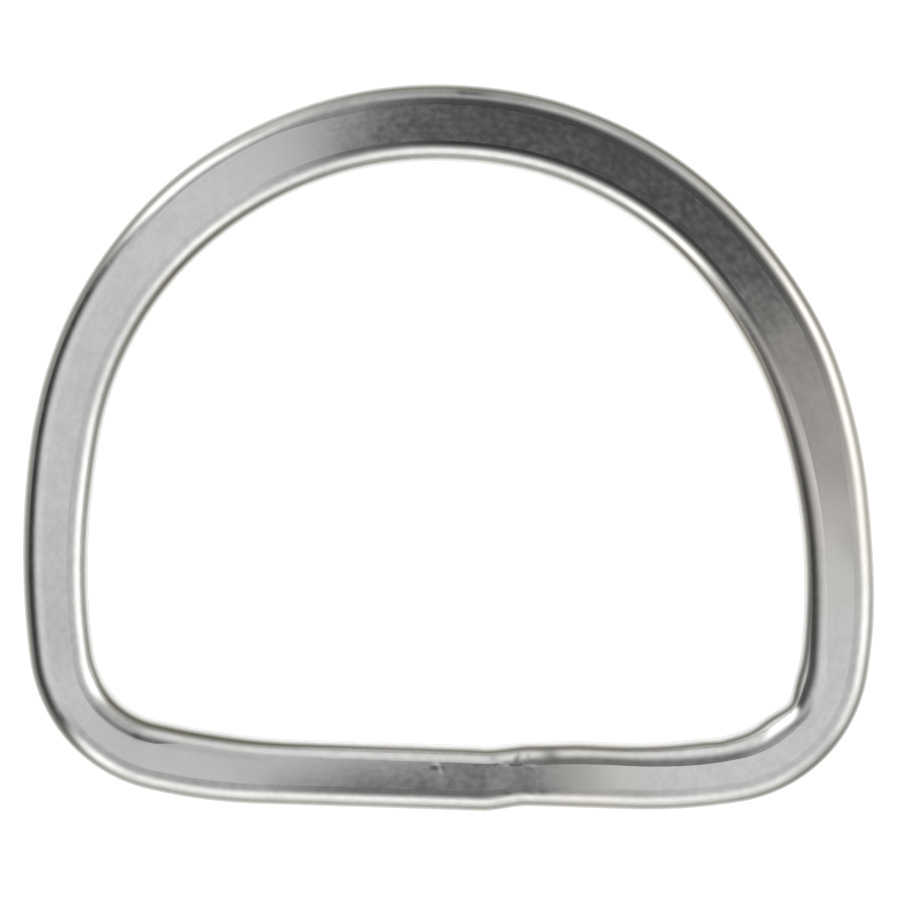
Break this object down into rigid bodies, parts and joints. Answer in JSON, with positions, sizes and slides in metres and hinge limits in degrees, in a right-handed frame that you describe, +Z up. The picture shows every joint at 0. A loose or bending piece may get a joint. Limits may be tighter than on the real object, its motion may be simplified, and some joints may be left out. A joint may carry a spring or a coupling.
{
  "type": "d ring",
  "caption": "D-shaped ring of flattened metal wire with rounded edges, closed by a butt weld in its straight bar, that joins a wide strap to a hook or a second strap.",
  "frame": {"origin": "middle of the ring's outline at the underside, on the surface that the ring lies on", "axes": "+X along the straight bar towards the end that the weld is nearer to, +Y from the bar to the crown, +Z up through the thickness of the wire"},
  "size_m": [0.0594, 0.0506, 0.004],
  "materials": {
    "d_ring": "nickel plated, satin on the flat faces and bright on the rounded edges"
  },
  "bodies": {
    "root": {"d_ring": "d_ring"}
  },
  "joints": []
}
